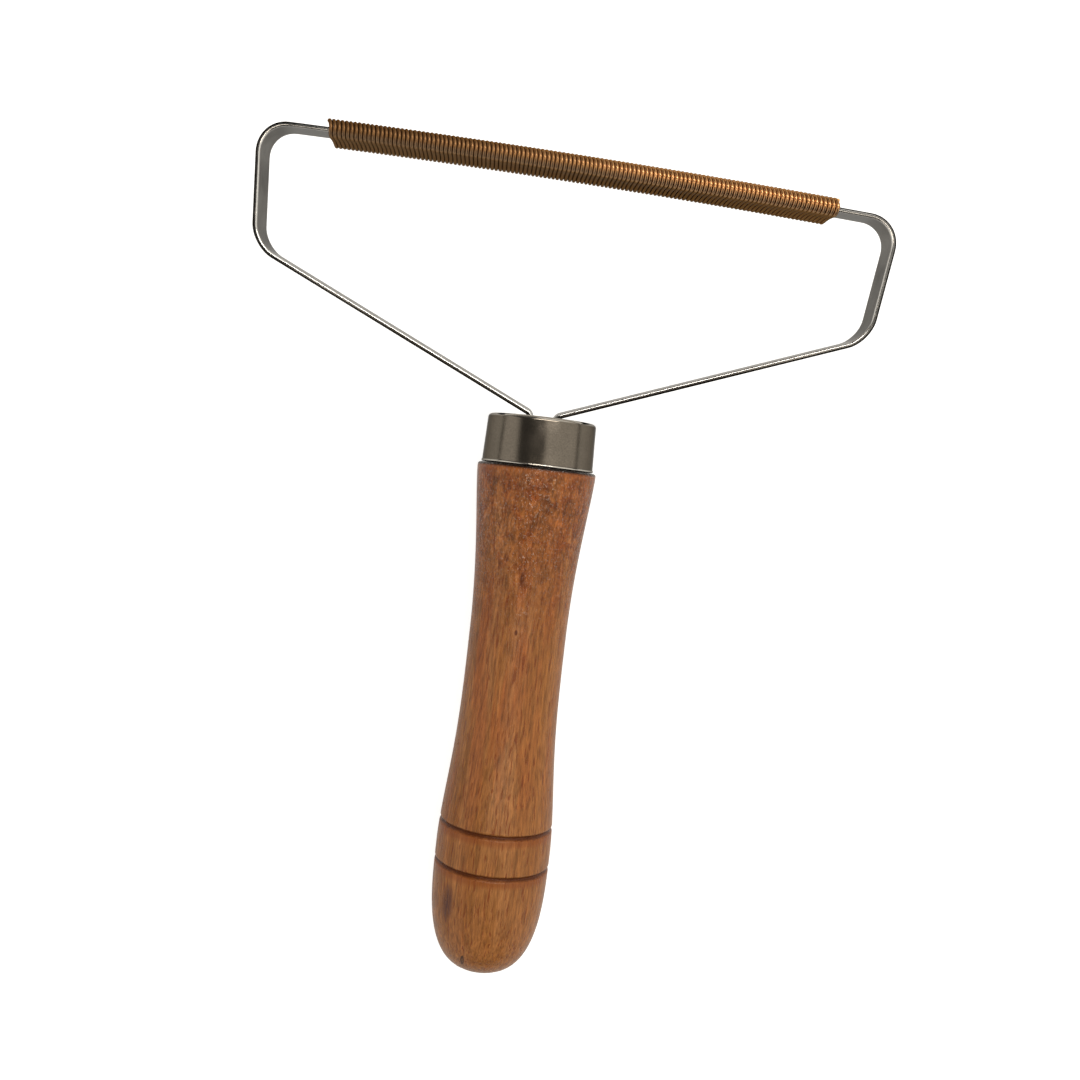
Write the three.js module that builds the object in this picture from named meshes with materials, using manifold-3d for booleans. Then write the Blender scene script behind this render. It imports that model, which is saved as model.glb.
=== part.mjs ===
// Lint brush of the wire-coil kind. A turned wooden handle carries a drawn steel ferrule. A flat steel strip,
// bent into a five-sided loop, runs with both its ends through the ferrule into a socket in the handle, where
// glue holds it. A copper wire, wound into one flattened coil, is threaded on the loop's top bar.
// Millimetres, +Z up. The brush lies down, with its handle along Y and its head towards +Y.
// The pieces are built round the centre of the ferrule's top and moved to the part's origin at the end.

import * as THREE from 'three';
import { mergeVertices } from 'three/addons/utils/BufferGeometryUtils.js';
import Module from 'manifold-3d';

// Steel strip of the loop
const STRIP_WIDTH = 8;
const STRIP_THICKNESS = 1;
const STRIP_EDGE_RADIUS = 0.35;

// Loop, over the strip's outer faces, with heights above the loop's foot
const HEAD_WIDTH = 130;
const HEAD_HEIGHT = 50.05;
const SIDE_FOOT_WIDTH = 126.6;
const SIDE_FOOT_HEIGHT = 25.3;
const TOP_CORNER_RADIUS = 6.2;
const LOWER_CORNER_RADIUS = 7.4;
const BAR_BOW = 0.75;

// How far the loop leans to the front and turns off the handle's line
const HEAD_LEAN_DEG = 5.9;
const HEAD_TURN_DEG = -2.2;

// Tangs, the strip's two ends in the handle
const TANG_SPREAD = 6;
const TANG_BEND_HEIGHT = 0.2;
const TANG_BEND_RADIUS = 1;
const TANG_LENGTH = 26;
const TANG_KINK_OVERLAP = 0.8;

// Copper coil, which is loose on the bar and tips forwards in its play
const WIRE_DIAMETER = 0.8;
const COIL_TURNS = 84;
const COIL_LENGTH = 102.7;
const COIL_DEPTH = 12.2;
const COIL_THICKNESS = 4;
const COIL_OFFSET = 0.1;
const COIL_TILT_DEG = 3.7;

// Ferrule
const FERRULE_TOP_DIAMETER = 22.6;
const FERRULE_MOUTH_DIAMETER = 23.2;
const FERRULE_HEIGHT = 9.85;
const FERRULE_WALL = 0.5;
const FERRULE_CORNER_RADIUS = 0.8;
const SLOT_EASE = 0.9;

// Handle, with places along its axis measured from its shoulder
const HANDLE_LENGTH = 106.9;
const SHOULDER_DIAMETER = 24.8;
const SHOULDER_ROUND = 0.6;
const WAIST_DIAMETER = 20.3;
const WAIST_PLACE = 35.8;
const BULB_DIAMETER = 24.3;
const BULB_PLACE = 81.2;
const NECK_SKEW = 0.68;
const SWELL_SKEW = 1.64;
const BUTT_FULLNESS = 3;
const BUTT_FLAT_DIAMETER = 7;
const GROOVE_PLACES = [75.4, 83.9];
const GROOVE_WIDTH = 1.4;
const GROOVE_DEPTH = 0.55;
const SOCKET_DIAMETER = 12;
const SOCKET_DEPTH = 29;

// Clearance between pieces that are seated in or on one another
const FIT_GAP = 0.3;

// Fineness of the curved faces
const ROUND_SEGMENTS = 48;
const ARC_SEGMENTS = 5;
const EDGE_SEGMENTS = 2;
const PROFILE_STEPS = 10;
const CORNER_STEPS = 4;
const WIRE_SIDES = 5;
const WIRE_STEPS_PER_BEND = 3;
const GAP_SAMPLES_PER_STEP = 4;

const wasm = await Module();
wasm.setup();

const vec = (x, y) => new THREE.Vector2(x, y);
const steps = (count) => Array.from({ length: count + 1 }, (_, i) => i / count);

// Closed triangle mesh to solid, and back
function solidOf(geometry) {
  const bare = geometry.clone();
  bare.deleteAttribute('normal');
  bare.deleteAttribute('uv');
  const merged = mergeVertices(bare);
  const vertProperties = new Float32Array(merged.attributes.position.array);
  const triVerts = new Uint32Array(merged.index.array);
  return new wasm.Manifold(new wasm.Mesh({ numProp: 3, vertProperties, triVerts }));
}

function geometryOf(solid) {
  const mesh = solid.getMesh();
  const geometry = new THREE.BufferGeometry();
  geometry.setAttribute('position', new THREE.BufferAttribute(new Float32Array(mesh.vertProperties), 3));
  geometry.setIndex(new THREE.BufferAttribute(new Uint32Array(mesh.triVerts), 1));
  return geometry;
}

// A slot across the handle's axis, as wide as the strip and its clearance, from one height to another
function slotSolid(middle, half, bottom, top) {
  const width = STRIP_WIDTH + 2 * FIT_GAP;
  const box = new THREE.BoxGeometry(2 * half, top - bottom, width);
  return solidOf(box.translate(middle, (bottom + top) / 2, 0));
}

// Heights along the handle's axis, counted from the ferrule's top
const tenonTop = -FERRULE_WALL - FIT_GAP;
const shoulder = -FERRULE_HEIGHT - FIT_GAP;
const butt = shoulder - HANDLE_LENGTH;
const socketFloor = tenonTop - SOCKET_DEPTH;

// The loop's frame. Its foot is lifted until the leaning arms clear the ferrule's top beside the slot.
const lean = THREE.MathUtils.degToRad(HEAD_LEAN_DEG);
const turn = THREE.MathUtils.degToRad(HEAD_TURN_DEG);
const slotHalf = TANG_SPREAD / 2 + SLOT_EASE;
const armSlope = (SIDE_FOOT_HEIGHT - TANG_BEND_HEIGHT) / (SIDE_FOOT_WIDTH / 2 - TANG_SPREAD / 2);
const armDrop = Math.sin(lean) * STRIP_WIDTH / 2 + Math.abs(Math.sin(turn)) * slotHalf;
const loopFoot = FIT_GAP + armDrop - TANG_BEND_HEIGHT - armSlope * SLOT_EASE;
const loopFrame = new THREE.Matrix4()
  .makeTranslation(0, loopFoot, 0)
  .multiply(new THREE.Matrix4().makeRotationZ(turn))
  .multiply(new THREE.Matrix4().makeRotationX(lean));

// Bent strip: straight stretches between corners, each corner rounded by an arc that is tangent to both sides
const leftOf = (from, to) => to.clone().sub(from).normalize().rotateAround(vec(0, 0), Math.PI / 2);

function bendReach(before, corner, after, radius) {
  const bend = Math.acos(leftOf(before, corner).dot(leftOf(corner, after)));
  return radius * Math.tan(bend / 2);
}

function traceBends(path, corners, radii) {
  corners.forEach((corner, i) => {
    const before = corners[i - 1];
    const after = corners[i + 1];
    if (!before || !after) {
      path.lineTo(corner.x, corner.y);
      return;
    }
    const reach = bendReach(before, corner, after, radii[i]);
    const start = before.clone().sub(corner).setLength(reach).add(corner);
    const end = after.clone().sub(corner).setLength(reach).add(corner);
    const toLeft = leftOf(before, corner);
    const bendsLeft = toLeft.dot(after.clone().sub(corner)) > 0;
    const centre = start.clone().addScaledVector(toLeft, bendsLeft ? radii[i] : -radii[i]);
    path.lineTo(start.x, start.y);
    path.absarc(centre.x, centre.y, radii[i], start.sub(centre).angle(), end.sub(centre).angle(), !bendsLeft);
  });
}

// The strip's other face: the same line moved to the right of its direction by the strip's thickness
function otherFace(corners) {
  return corners.map((corner, i) => {
    const before = corners[i - 1] ?? corner.clone().multiplyScalar(2).sub(corners[i + 1]);
    const after = corners[i + 1] ?? corner.clone().multiplyScalar(2).sub(corners[i - 1]);
    const first = leftOf(before, corner);
    const second = leftOf(corner, after);
    const mitre = first.clone().add(second).divideScalar(1 + first.dot(second));
    return corner.clone().addScaledVector(mitre, -STRIP_THICKNESS);
  });
}

// An outline in the loop's plane, drawn out to the strip's width with rounded edges
function stripGeometry(shape) {
  const depth = STRIP_WIDTH - 2 * STRIP_EDGE_RADIUS;
  const settings = {
    depth,
    curveSegments: ARC_SEGMENTS,
    bevelThickness: STRIP_EDGE_RADIUS,
    bevelSize: STRIP_EDGE_RADIUS,
    bevelOffset: -STRIP_EDGE_RADIUS,
    bevelSegments: EDGE_SEGMENTS,
  };
  return new THREE.ExtrudeGeometry(shape, settings).translate(0, 0, -depth / 2);
}

// The top bar bows outwards in one long arc that ends a little short of the corner bends
const topCorner = vec(HEAD_WIDTH / 2, HEAD_HEIGHT);
const sideFoot = vec(SIDE_FOOT_WIDTH / 2, SIDE_FOOT_HEIGHT);
const barMiddle = vec(0, HEAD_HEIGHT);
const barHalf = topCorner.x - bendReach(barMiddle, topCorner, sideFoot, TOP_CORNER_RADIUS + BAR_BOW);
const barSlope = 2 * BAR_BOW / barHalf;
const barRadius = barHalf / barSlope;
const barApex = vec(0, HEAD_HEIGHT + topCorner.x * barSlope);
const barTop = barApex.y - barHalf * barSlope / 2;

// Loop and tangs: one strip. Each tang leaves the leaning loop at a slight kink inside the ferrule and then
// runs straight down the handle.
const tangMiddles = [-1, 1].map((side) => side * (TANG_SPREAD - STRIP_THICKNESS) / 2);

function frameBandGeometry() {
  const tangBend = vec(TANG_SPREAD / 2, TANG_BEND_HEIGHT);
  const tangStub = vec(TANG_SPREAD / 2, -loopFoot - TANG_KINK_OVERLAP);
  const right = [topCorner, sideFoot, tangBend, tangStub];
  const left = right.map((corner) => vec(-corner.x, corner.y)).reverse();
  const outer = [...left, barApex, ...right];
  const inner = otherFace(outer).reverse();
  const rightRadii = [TOP_CORNER_RADIUS, LOWER_CORNER_RADIUS, TANG_BEND_RADIUS, 0];
  const outerRadii = [...rightRadii.toReversed(), barRadius, ...rightRadii];
  const innerShift = [-STRIP_THICKNESS, -STRIP_THICKNESS, STRIP_THICKNESS, 0];
  const rightInner = rightRadii.map((radius, i) => radius + innerShift[i]);
  const innerRadii = [...rightInner.toReversed(), barRadius - STRIP_THICKNESS, ...rightInner];
  const loop = new THREE.Shape();
  loop.moveTo(outer[0].x, outer[0].y);
  traceBends(loop, outer, outerRadii);
  traceBends(loop, inner, innerRadii);
  let band = solidOf(stripGeometry(loop).applyMatrix4(loopFrame));
  for (const middle of tangMiddles) {
    const low = middle - STRIP_THICKNESS / 2;
    const high = middle + STRIP_THICKNESS / 2;
    const end = -TANG_LENGTH;
    const tang = new THREE.Shape([vec(low, end), vec(high, end), vec(high, 0), vec(low, 0)]);
    band = band.add(solidOf(stripGeometry(tang)));
  }
  return geometryOf(band);
}

// Least gap between the wire's surface and itself, on points along its middle line half a turn or more apart
function printLeastGap(line, runs, halfTurn) {
  const samples = [];
  for (let i = 0; i + 1 < line.length; i += 1) {
    for (let k = 0; k < GAP_SAMPLES_PER_STEP; k += 1) {
      const share = k / GAP_SAMPLES_PER_STEP;
      const point = line[i].clone().lerp(line[i + 1], share);
      samples.push({ point, run: THREE.MathUtils.lerp(runs[i], runs[i + 1], share) });
    }
  }
  let least = Infinity;
  for (let i = 0; i < samples.length; i += 1) {
    for (let j = i + 1; j < samples.length; j += 1) {
      if (samples[j].run - samples[i].run > halfTurn) {
        least = Math.min(least, samples[i].point.distanceTo(samples[j].point) - WIRE_DIAMETER);
      }
    }
  }
  console.log(`copper_coil: least gap between turns ${least.toFixed(3)} mm`);
}

// Copper coil: one wire that follows a racetrack section round the bar and climbs along the bar's arc.
// Both its ends are straight for one wire diameter and lie on the bar's outer side.
function copperCoilGeometry() {
  const wireRadius = WIRE_DIAMETER / 2;
  const bendRadius = COIL_THICKNESS / 2 - wireRadius;
  const bendStep = Math.PI / WIRE_STEPS_PER_BEND;
  const straightHalf = COIL_DEPTH / 2 - wireRadius - bendRadius * Math.cos(bendStep / 2);
  const chord = 2 * bendRadius * Math.sin(bendStep / 2);
  const halfTurn = 2 * straightHalf + WIRE_STEPS_PER_BEND * chord;

  // Corners of the wire's middle line in the section across the bar, x along Z and y along Y, with the way
  // out of the coil at each and the length of wire up to it
  const corners = [{ out: vec(0, 1), place: vec(straightHalf - WIRE_DIAMETER, bendRadius), run: 0 }];
  for (let bend = 0; bend < 2 * COIL_TURNS; bend += 1) {
    const side = bend % 2 === 0 ? 1 : -1;
    for (let i = 0; i <= WIRE_STEPS_PER_BEND; i += 1) {
      const angle = side * Math.PI / 2 - i * bendStep;
      const out = vec(Math.cos(angle), Math.sin(angle));
      const place = out.clone().multiplyScalar(bendRadius).add(vec(side * straightHalf, 0));
      corners.push({ out, place, run: WIRE_DIAMETER + bend * halfTurn + i * chord });
    }
  }
  const lastRun = corners.at(-1).run + WIRE_DIAMETER;
  corners.push({ out: vec(0, 1), place: vec(WIRE_DIAMETER - straightHalf, bendRadius), run: lastRun });
  const tilt = THREE.MathUtils.degToRad(COIL_TILT_DEG);
  for (const { out, place } of corners) {
    out.rotateAround(vec(0, 0), tilt);
    place.rotateAround(vec(0, 0), tilt);
  }

  const climb = (COIL_LENGTH - WIRE_DIAMETER) / lastRun;
  const start = COIL_OFFSET - (COIL_LENGTH - WIRE_DIAMETER) / 2;
  const arcCentre = barTop - barRadius;
  const arcRadius = barRadius - STRIP_THICKNESS / 2;
  const line = corners.map(({ place, run }) => {
    const x = start + climb * run;
    return new THREE.Vector3(x, arcCentre + Math.sqrt(arcRadius ** 2 - x ** 2) + place.y, place.x);
  });
  printLeastGap(line, corners.map(({ run }) => run), halfTurn);

  // Rings of the tube, square to the wire, then its skin and its two cut ends
  const positions = [];
  line.forEach((point, i) => {
    const along = (line[i + 1] ?? point).clone().sub(line[i - 1] ?? point).normalize();
    const side = along.clone().cross(new THREE.Vector3(0, corners[i].out.y, corners[i].out.x)).normalize();
    const outward = side.clone().cross(along);
    for (let k = 0; k < WIRE_SIDES; k += 1) {
      const angle = 2 * Math.PI * k / WIRE_SIDES;
      const rim = point.clone();
      rim.addScaledVector(outward, wireRadius * Math.cos(angle));
      rim.addScaledVector(side, wireRadius * Math.sin(angle));
      positions.push(rim.x, rim.y, rim.z);
    }
  });
  const triangles = [];
  const last = (line.length - 1) * WIRE_SIDES;
  for (let ring = 0; ring < last; ring += WIRE_SIDES) {
    for (let k = 0; k < WIRE_SIDES; k += 1) {
      const next = (k + 1) % WIRE_SIDES;
      triangles.push(ring + k, ring + WIRE_SIDES + next, ring + WIRE_SIDES + k);
      triangles.push(ring + k, ring + next, ring + WIRE_SIDES + next);
    }
  }
  for (let k = 1; k < WIRE_SIDES - 1; k += 1) {
    triangles.push(0, k + 1, k);
    triangles.push(last, last + k, last + k + 1);
  }
  const geometry = new THREE.BufferGeometry();
  geometry.setAttribute('position', new THREE.Float32BufferAttribute(positions, 3));
  geometry.setIndex(triangles);
  return geometry;
}

// Ferrule: a drawn cap with a rounded top edge, slightly wider at its mouth, and a slot for the tangs
function ferruleGeometry() {
  const roundedEdge = (edge, top, radius) => steps(CORNER_STEPS).map((share) => {
    const angle = share * Math.PI / 2;
    return vec(edge - radius * (1 - Math.sin(angle)), top - radius * (1 - Math.cos(angle)));
  });
  const innerEdge = FERRULE_TOP_DIAMETER / 2 - FERRULE_WALL;
  const profile = [
    vec(0, 0),
    ...roundedEdge(FERRULE_TOP_DIAMETER / 2, 0, FERRULE_CORNER_RADIUS),
    vec(FERRULE_MOUTH_DIAMETER / 2, -FERRULE_HEIGHT),
    vec(FERRULE_MOUTH_DIAMETER / 2 - FERRULE_WALL, -FERRULE_HEIGHT),
    ...roundedEdge(innerEdge, -FERRULE_WALL, FERRULE_CORNER_RADIUS - FERRULE_WALL).reverse(),
    vec(0, -FERRULE_WALL),
  ];
  const cap = solidOf(new THREE.LatheGeometry(profile.reverse(), ROUND_SEGMENTS));
  return geometryOf(cap.subtract(slotSolid(0, slotHalf, tenonTop, FIT_GAP)));
}

// Handle: tenon and socket at the top, a waist, a swelling with two grooves, and a full round butt
const ease = (from, to, share) => from + (to - from) * (1 - Math.cos(Math.PI * share)) / 2;
const buttFlatShare = BUTT_FLAT_DIAMETER / BULB_DIAMETER;
const buttEnd = (1 - buttFlatShare ** BUTT_FULLNESS) ** (1 / BUTT_FULLNESS);
const buttLength = (HANDLE_LENGTH - BULB_PLACE) / buttEnd;

function handleRadius(place) {
  if (place > BULB_PLACE) {
    const share = (place - BULB_PLACE) / buttLength;
    return BULB_DIAMETER / 2 * (1 - share ** BUTT_FULLNESS) ** (1 / BUTT_FULLNESS);
  }
  if (place > WAIST_PLACE) {
    const share = (place - WAIST_PLACE) / (BULB_PLACE - WAIST_PLACE);
    return ease(WAIST_DIAMETER / 2, BULB_DIAMETER / 2, share ** SWELL_SKEW);
  }
  const share = (place - SHOULDER_ROUND) / (WAIST_PLACE - SHOULDER_ROUND);
  return ease(SHOULDER_DIAMETER / 2, WAIST_DIAMETER / 2, share ** NECK_SKEW);
}

// Places along the outside where the turned outline is drawn, closer together towards the butt's end
function outlinePlaces() {
  const shares = steps(PROFILE_STEPS).slice(1);
  const between = (from, to) => shares.map((share) => THREE.MathUtils.lerp(from, to, share));
  const endAngle = Math.asin(buttEnd ** (BUTT_FULLNESS / 2));
  const buttPlace = (share) => BULB_PLACE + buttLength * Math.sin(share * endAngle) ** (2 / BUTT_FULLNESS);
  return [
    ...between(SHOULDER_ROUND, WAIST_PLACE),
    ...between(WAIST_PLACE, BULB_PLACE),
    ...shares.map(buttPlace),
  ];
}

function handleGeometry() {
  const tenonRadius = FERRULE_TOP_DIAMETER / 2 - FERRULE_WALL - FIT_GAP;
  const shoulderEdge = steps(CORNER_STEPS).map((share) => {
    const angle = share * Math.PI / 2;
    const radius = SHOULDER_DIAMETER / 2 - SHOULDER_ROUND * (1 - Math.sin(angle));
    return vec(radius, shoulder - SHOULDER_ROUND * (1 - Math.cos(angle)));
  });
  const offGrooves = (place) => GROOVE_PLACES.every((groove) => Math.abs(place - groove) > GROOVE_WIDTH);
  const marks = outlinePlaces().filter(offGrooves).map((place) => ({ place, cut: 0 }));
  for (const groove of GROOVE_PLACES) {
    marks.push({ place: groove - GROOVE_WIDTH / 2, cut: 0 });
    marks.push({ place: groove, cut: GROOVE_DEPTH });
    marks.push({ place: groove + GROOVE_WIDTH / 2, cut: 0 });
  }
  marks.sort((one, other) => one.place - other.place);
  const profile = [
    vec(0, socketFloor),
    vec(SOCKET_DIAMETER / 2, socketFloor),
    vec(SOCKET_DIAMETER / 2, tenonTop),
    vec(tenonRadius, tenonTop),
    vec(tenonRadius, shoulder),
    ...shoulderEdge,
    ...marks.map(({ place, cut }) => vec(handleRadius(place) - cut, shoulder - place)),
    vec(0, butt),
  ];
  return new THREE.LatheGeometry(profile.reverse(), ROUND_SEGMENTS);
}

// Glue: fills the socket round the tangs, up to the tenon's top
function gluePlugGeometry() {
  const radius = SOCKET_DIAMETER / 2 - FIT_GAP;
  const floor = socketFloor + FIT_GAP;
  const outline = [vec(0, floor), vec(radius, floor), vec(radius, tenonTop), vec(0, tenonTop)];
  let plug = solidOf(new THREE.LatheGeometry(outline, ROUND_SEGMENTS));
  for (const middle of tangMiddles) {
    plug = plug.subtract(slotSolid(middle, STRIP_THICKNESS / 2 + FIT_GAP, -TANG_LENGTH - FIT_GAP, 0));
  }
  return geometryOf(plug);
}

// Finishes
const varnishedWood = new THREE.MeshStandardMaterial({ color: 0x9a5f3b, roughness: 0.35, metalness: 0 });
const nickelledSteel = new THREE.MeshStandardMaterial({ color: 0x8d877c, roughness: 0.3, metalness: 1 });
const stripSteel = new THREE.MeshStandardMaterial({ color: 0x9b9a96, roughness: 0.35, metalness: 1 });
const copperWire = new THREE.MeshStandardMaterial({ color: 0xa8703c, roughness: 0.35, metalness: 1 });
const setGlue = new THREE.MeshStandardMaterial({ color: 0xc9b78f, roughness: 0.5, metalness: 0 });

function piece(name, geometry, material) {
  const mesh = new THREE.Mesh(geometry, material);
  mesh.name = name;
  return mesh;
}

// Assembly, with the origin under the middle of the part on the surface that it lies on
const brush = new THREE.Group();
const loopGroup = new THREE.Group();
loopGroup.applyMatrix4(loopFrame);
loopGroup.add(piece('copper_coil', copperCoilGeometry(), copperWire));
brush.add(loopGroup);
brush.add(piece('handle', handleGeometry(), varnishedWood));
brush.add(piece('ferrule', ferruleGeometry(), nickelledSteel));
brush.add(piece('frame_band', frameBandGeometry(), stripSteel));
brush.add(piece('glue_plug', gluePlugGeometry(), setGlue));
const extent = new THREE.Box3().setFromObject(brush, true);
const centre = extent.getCenter(new THREE.Vector3());
brush.position.set(-centre.x, -centre.y, -extent.min.z);

export default brush;
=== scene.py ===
import math

import bmesh
import bpy
from mathutils import Matrix, Vector


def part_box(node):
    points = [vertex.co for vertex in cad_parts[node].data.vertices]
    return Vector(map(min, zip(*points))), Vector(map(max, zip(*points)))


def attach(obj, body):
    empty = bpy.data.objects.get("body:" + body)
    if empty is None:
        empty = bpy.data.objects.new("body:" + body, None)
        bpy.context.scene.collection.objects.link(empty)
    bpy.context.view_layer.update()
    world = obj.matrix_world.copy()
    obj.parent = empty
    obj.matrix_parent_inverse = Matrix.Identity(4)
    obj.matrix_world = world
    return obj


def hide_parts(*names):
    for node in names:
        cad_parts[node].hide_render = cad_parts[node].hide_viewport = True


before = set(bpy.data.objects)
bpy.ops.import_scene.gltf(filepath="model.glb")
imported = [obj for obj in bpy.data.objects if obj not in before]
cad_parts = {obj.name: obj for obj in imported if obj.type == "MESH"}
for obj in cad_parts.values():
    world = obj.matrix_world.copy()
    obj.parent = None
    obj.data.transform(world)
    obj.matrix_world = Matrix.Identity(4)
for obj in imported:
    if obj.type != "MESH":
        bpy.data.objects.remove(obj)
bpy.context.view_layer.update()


# Handle: one piece of straight-grained hardwood, turned on a lathe, scorched in two grooves with a wire
# and dipped in varnish. Its tenon sits inside the ferrule and its drilled socket takes the two tangs.
# Sizes are in millimetres, heights from the ferrule's top and places along the outside from the shoulder.
MM = 0.001
SAME_PLACE = 0.001
ferrule_low, ferrule_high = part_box("ferrule")
axis_x = (ferrule_low.x + ferrule_high.x) / 2
axis_z = (ferrule_low.z + ferrule_high.z) / 2
brush_place = Matrix.Translation((axis_x, ferrule_high.y, axis_z)) @ Matrix.Scale(MM, 4)

SHOULDER = -10.15
HANDLE_LENGTH = 106.9
SHOULDER_RADIUS = 12.4
SHOULDER_ROUND = 0.6
SHOULDER_STEPS = 6
WAIST_RADIUS = 10.15
WAIST_PLACE = 35.8
BULB_RADIUS = 12.15
BULB_PLACE = 81.2
NECK_SKEW = 0.68
SWELL_SKEW = 1.64
BUTT_FULLNESS = 3.0
BUTT_FLAT_RADIUS = 3.5
GROOVE_PLACES = (75.4, 83.9)
GROOVE_HALF = 0.7
GROOVE_DEPTH = 0.55
TENON_RADIUS = 10.5
TENON_TOP = -0.8
SOCKET_RADIUS = 6.0
SOCKET_FLOOR = -29.8
OUTLINE_STEP = 0.55
GROOVE_STEP = OUTLINE_STEP / 4
LAST_STEPS = (0.5, 0.25, 0.1, 0.03, 0)
TURNED_SEGMENTS = 144


def eased(start, end, share):
    """A value that eases out of start and into end as share goes from 0 to 1."""
    return start + (end - start) * (1 - math.cos(math.pi * share)) / 2


def handle_radius(place):
    """Radius of the turned outside at a distance from the shoulder, in millimetres."""
    if place > BULB_PLACE:
        flat = BUTT_FLAT_RADIUS / BULB_RADIUS
        end = (1 - flat**BUTT_FULLNESS) ** (1 / BUTT_FULLNESS)
        share = (place - BULB_PLACE) / (HANDLE_LENGTH - BULB_PLACE) * end
        radius = BULB_RADIUS * (1 - share**BUTT_FULLNESS) ** (1 / BUTT_FULLNESS)
    elif place > WAIST_PLACE:
        share = (place - WAIST_PLACE) / (BULB_PLACE - WAIST_PLACE)
        radius = eased(WAIST_RADIUS, BULB_RADIUS, share**SWELL_SKEW)
    else:
        share = max(0, (place - SHOULDER_ROUND) / (WAIST_PLACE - SHOULDER_ROUND))
        radius = eased(SHOULDER_RADIUS, WAIST_RADIUS, share**NECK_SKEW)
    for groove in GROOVE_PLACES:
        dip = max(0, 1 - abs(place - groove) / GROOVE_HALF)
        radius -= GROOVE_DEPTH * dip * dip * (3 - 2 * dip)
    return radius


def turned(outline, segments):
    """A bmesh in millimetres of an outline of (radius, height) points, spun once round the brush's axis."""
    bm = bmesh.new()
    verts = [bm.verts.new((radius, height, 0)) for radius, height in outline]
    edges = [bm.edges.new(pair) for pair in zip(verts, verts[1:])]
    bmesh.ops.spin(
        bm, geom=verts + edges, cent=(0, 0, 0), axis=(0, 1, 0), dvec=(0, 0, 0),
        angle=2 * math.pi, steps=segments, use_merge=True,
    )
    bmesh.ops.remove_doubles(bm, verts=bm.verts[:], dist=SAME_PLACE)
    bmesh.ops.recalc_face_normals(bm, faces=bm.faces[:])
    return bm


def piece(name, bm, place, material, body, node, sharp_angle=35):
    """Puts a bmesh in its place as a smooth object that rides on a body and stands for a CAD node."""
    bmesh.ops.transform(bm, matrix=place, verts=bm.verts[:])
    mesh = bpy.data.meshes.new(name)
    bm.to_mesh(mesh)
    bm.free()
    mesh.shade_smooth()
    mesh.set_sharp_from_angle(angle=math.radians(sharp_angle))
    mesh.materials.append(material)
    made = bpy.data.objects.new(name, mesh)
    bpy.context.collection.objects.link(made)
    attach(made, body)
    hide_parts(node)
    return made


def linear(hex_colour):
    """Linear RGBA of an sRGB colour that is written as #rrggbb."""
    shares = [int(hex_colour[i : i + 2], 16) / 255 for i in (1, 3, 5)]
    return [c / 12.92 if c <= 0.04045 else ((c + 0.055) / 1.055) ** 2.4 for c in shares] + [1]


def add(tree, kind, inputs=(), **settings):
    """Adds a node with its settings; inputs gives each socket a value or the output that feeds it."""
    made = tree.nodes.new(kind)
    for setting, value in settings.items():
        setattr(made, setting, value)
    for socket, value in dict(inputs).items():
        if isinstance(value, bpy.types.NodeSocket):
            tree.links.new(value, made.inputs[socket])
        else:
            made.inputs[socket].default_value = value
    return made.outputs[0]


def new_material(name):
    """A new material, its node tree, the surface shader in it, and the piece's own coordinates."""
    material = bpy.data.materials.new(name)
    material.use_nodes = True
    tree = material.node_tree
    shader = tree.nodes["Principled BSDF"]
    coordinates = tree.nodes.new("ShaderNodeTexCoord").outputs["Object"]
    return material, tree, shader, coordinates


# Sockets of a mix node that mixes colours: its share, the two colours that go in and the one that comes out
SHARE, UNDER, OVER, MIXED = 0, 6, 7, 2

# Varnished hardwood: straight tan and reddish grain in fine fibres with short dark pores. Towards the neck the
# turning cuts across the fibres, so the wood is speckled there and the varnish glints in small points.
wood, tree, shader, coordinates = new_material("varnished_hardwood")
LAYER_WIDTH = 5.0
STREAK_WIDTH = 0.9
FIBRE_WIDTH = 0.4
PORE_WIDTH = 0.36
BLOTCH_SIZE = 1.8
STAIN_SIZE = 3.2
SPECK_SIZE = 0.5
SPARK_SIZE = 0.35
FIGURE_SIZE = 4
GRAIN_SQUEEZES = (0.05, 0.09, 0.45)
long_grain, short_grain, torn_grain = (
    add(tree, "ShaderNodeMapping", {"Vector": coordinates, "Scale": (1, squeeze, 1)})
    for squeeze in GRAIN_SQUEEZES
)
layers, streaks, fibres, pores, blotches, stains, specks, sparks, figure = (
    add(
        tree, "ShaderNodeTexNoise",
        {
            "Vector": grain,
            "Scale": 1 / (width * MM),
            "Detail": detail,
            "Roughness": roughness,
            "Distortion": distortion,
        },
    )
    for grain, width, detail, roughness, distortion in (
        (long_grain, LAYER_WIDTH, 3, 0.55, 0.4),
        (long_grain, STREAK_WIDTH, 3, 0.6, 0),
        (short_grain, FIBRE_WIDTH, 3, 0.65, 0),
        (short_grain, PORE_WIDTH, 1, 0.5, 0.3),
        (torn_grain, BLOTCH_SIZE, 5, 0.75, 0),
        (coordinates, STAIN_SIZE, 4, 0.7, 0.5),
        (torn_grain, SPECK_SIZE, 1, 0.5, 0),
        (coordinates, SPARK_SIZE, 1, 0.5, 0),
        (short_grain, FIGURE_SIZE, 3, 0.6, 0.3),
    )
)

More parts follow.
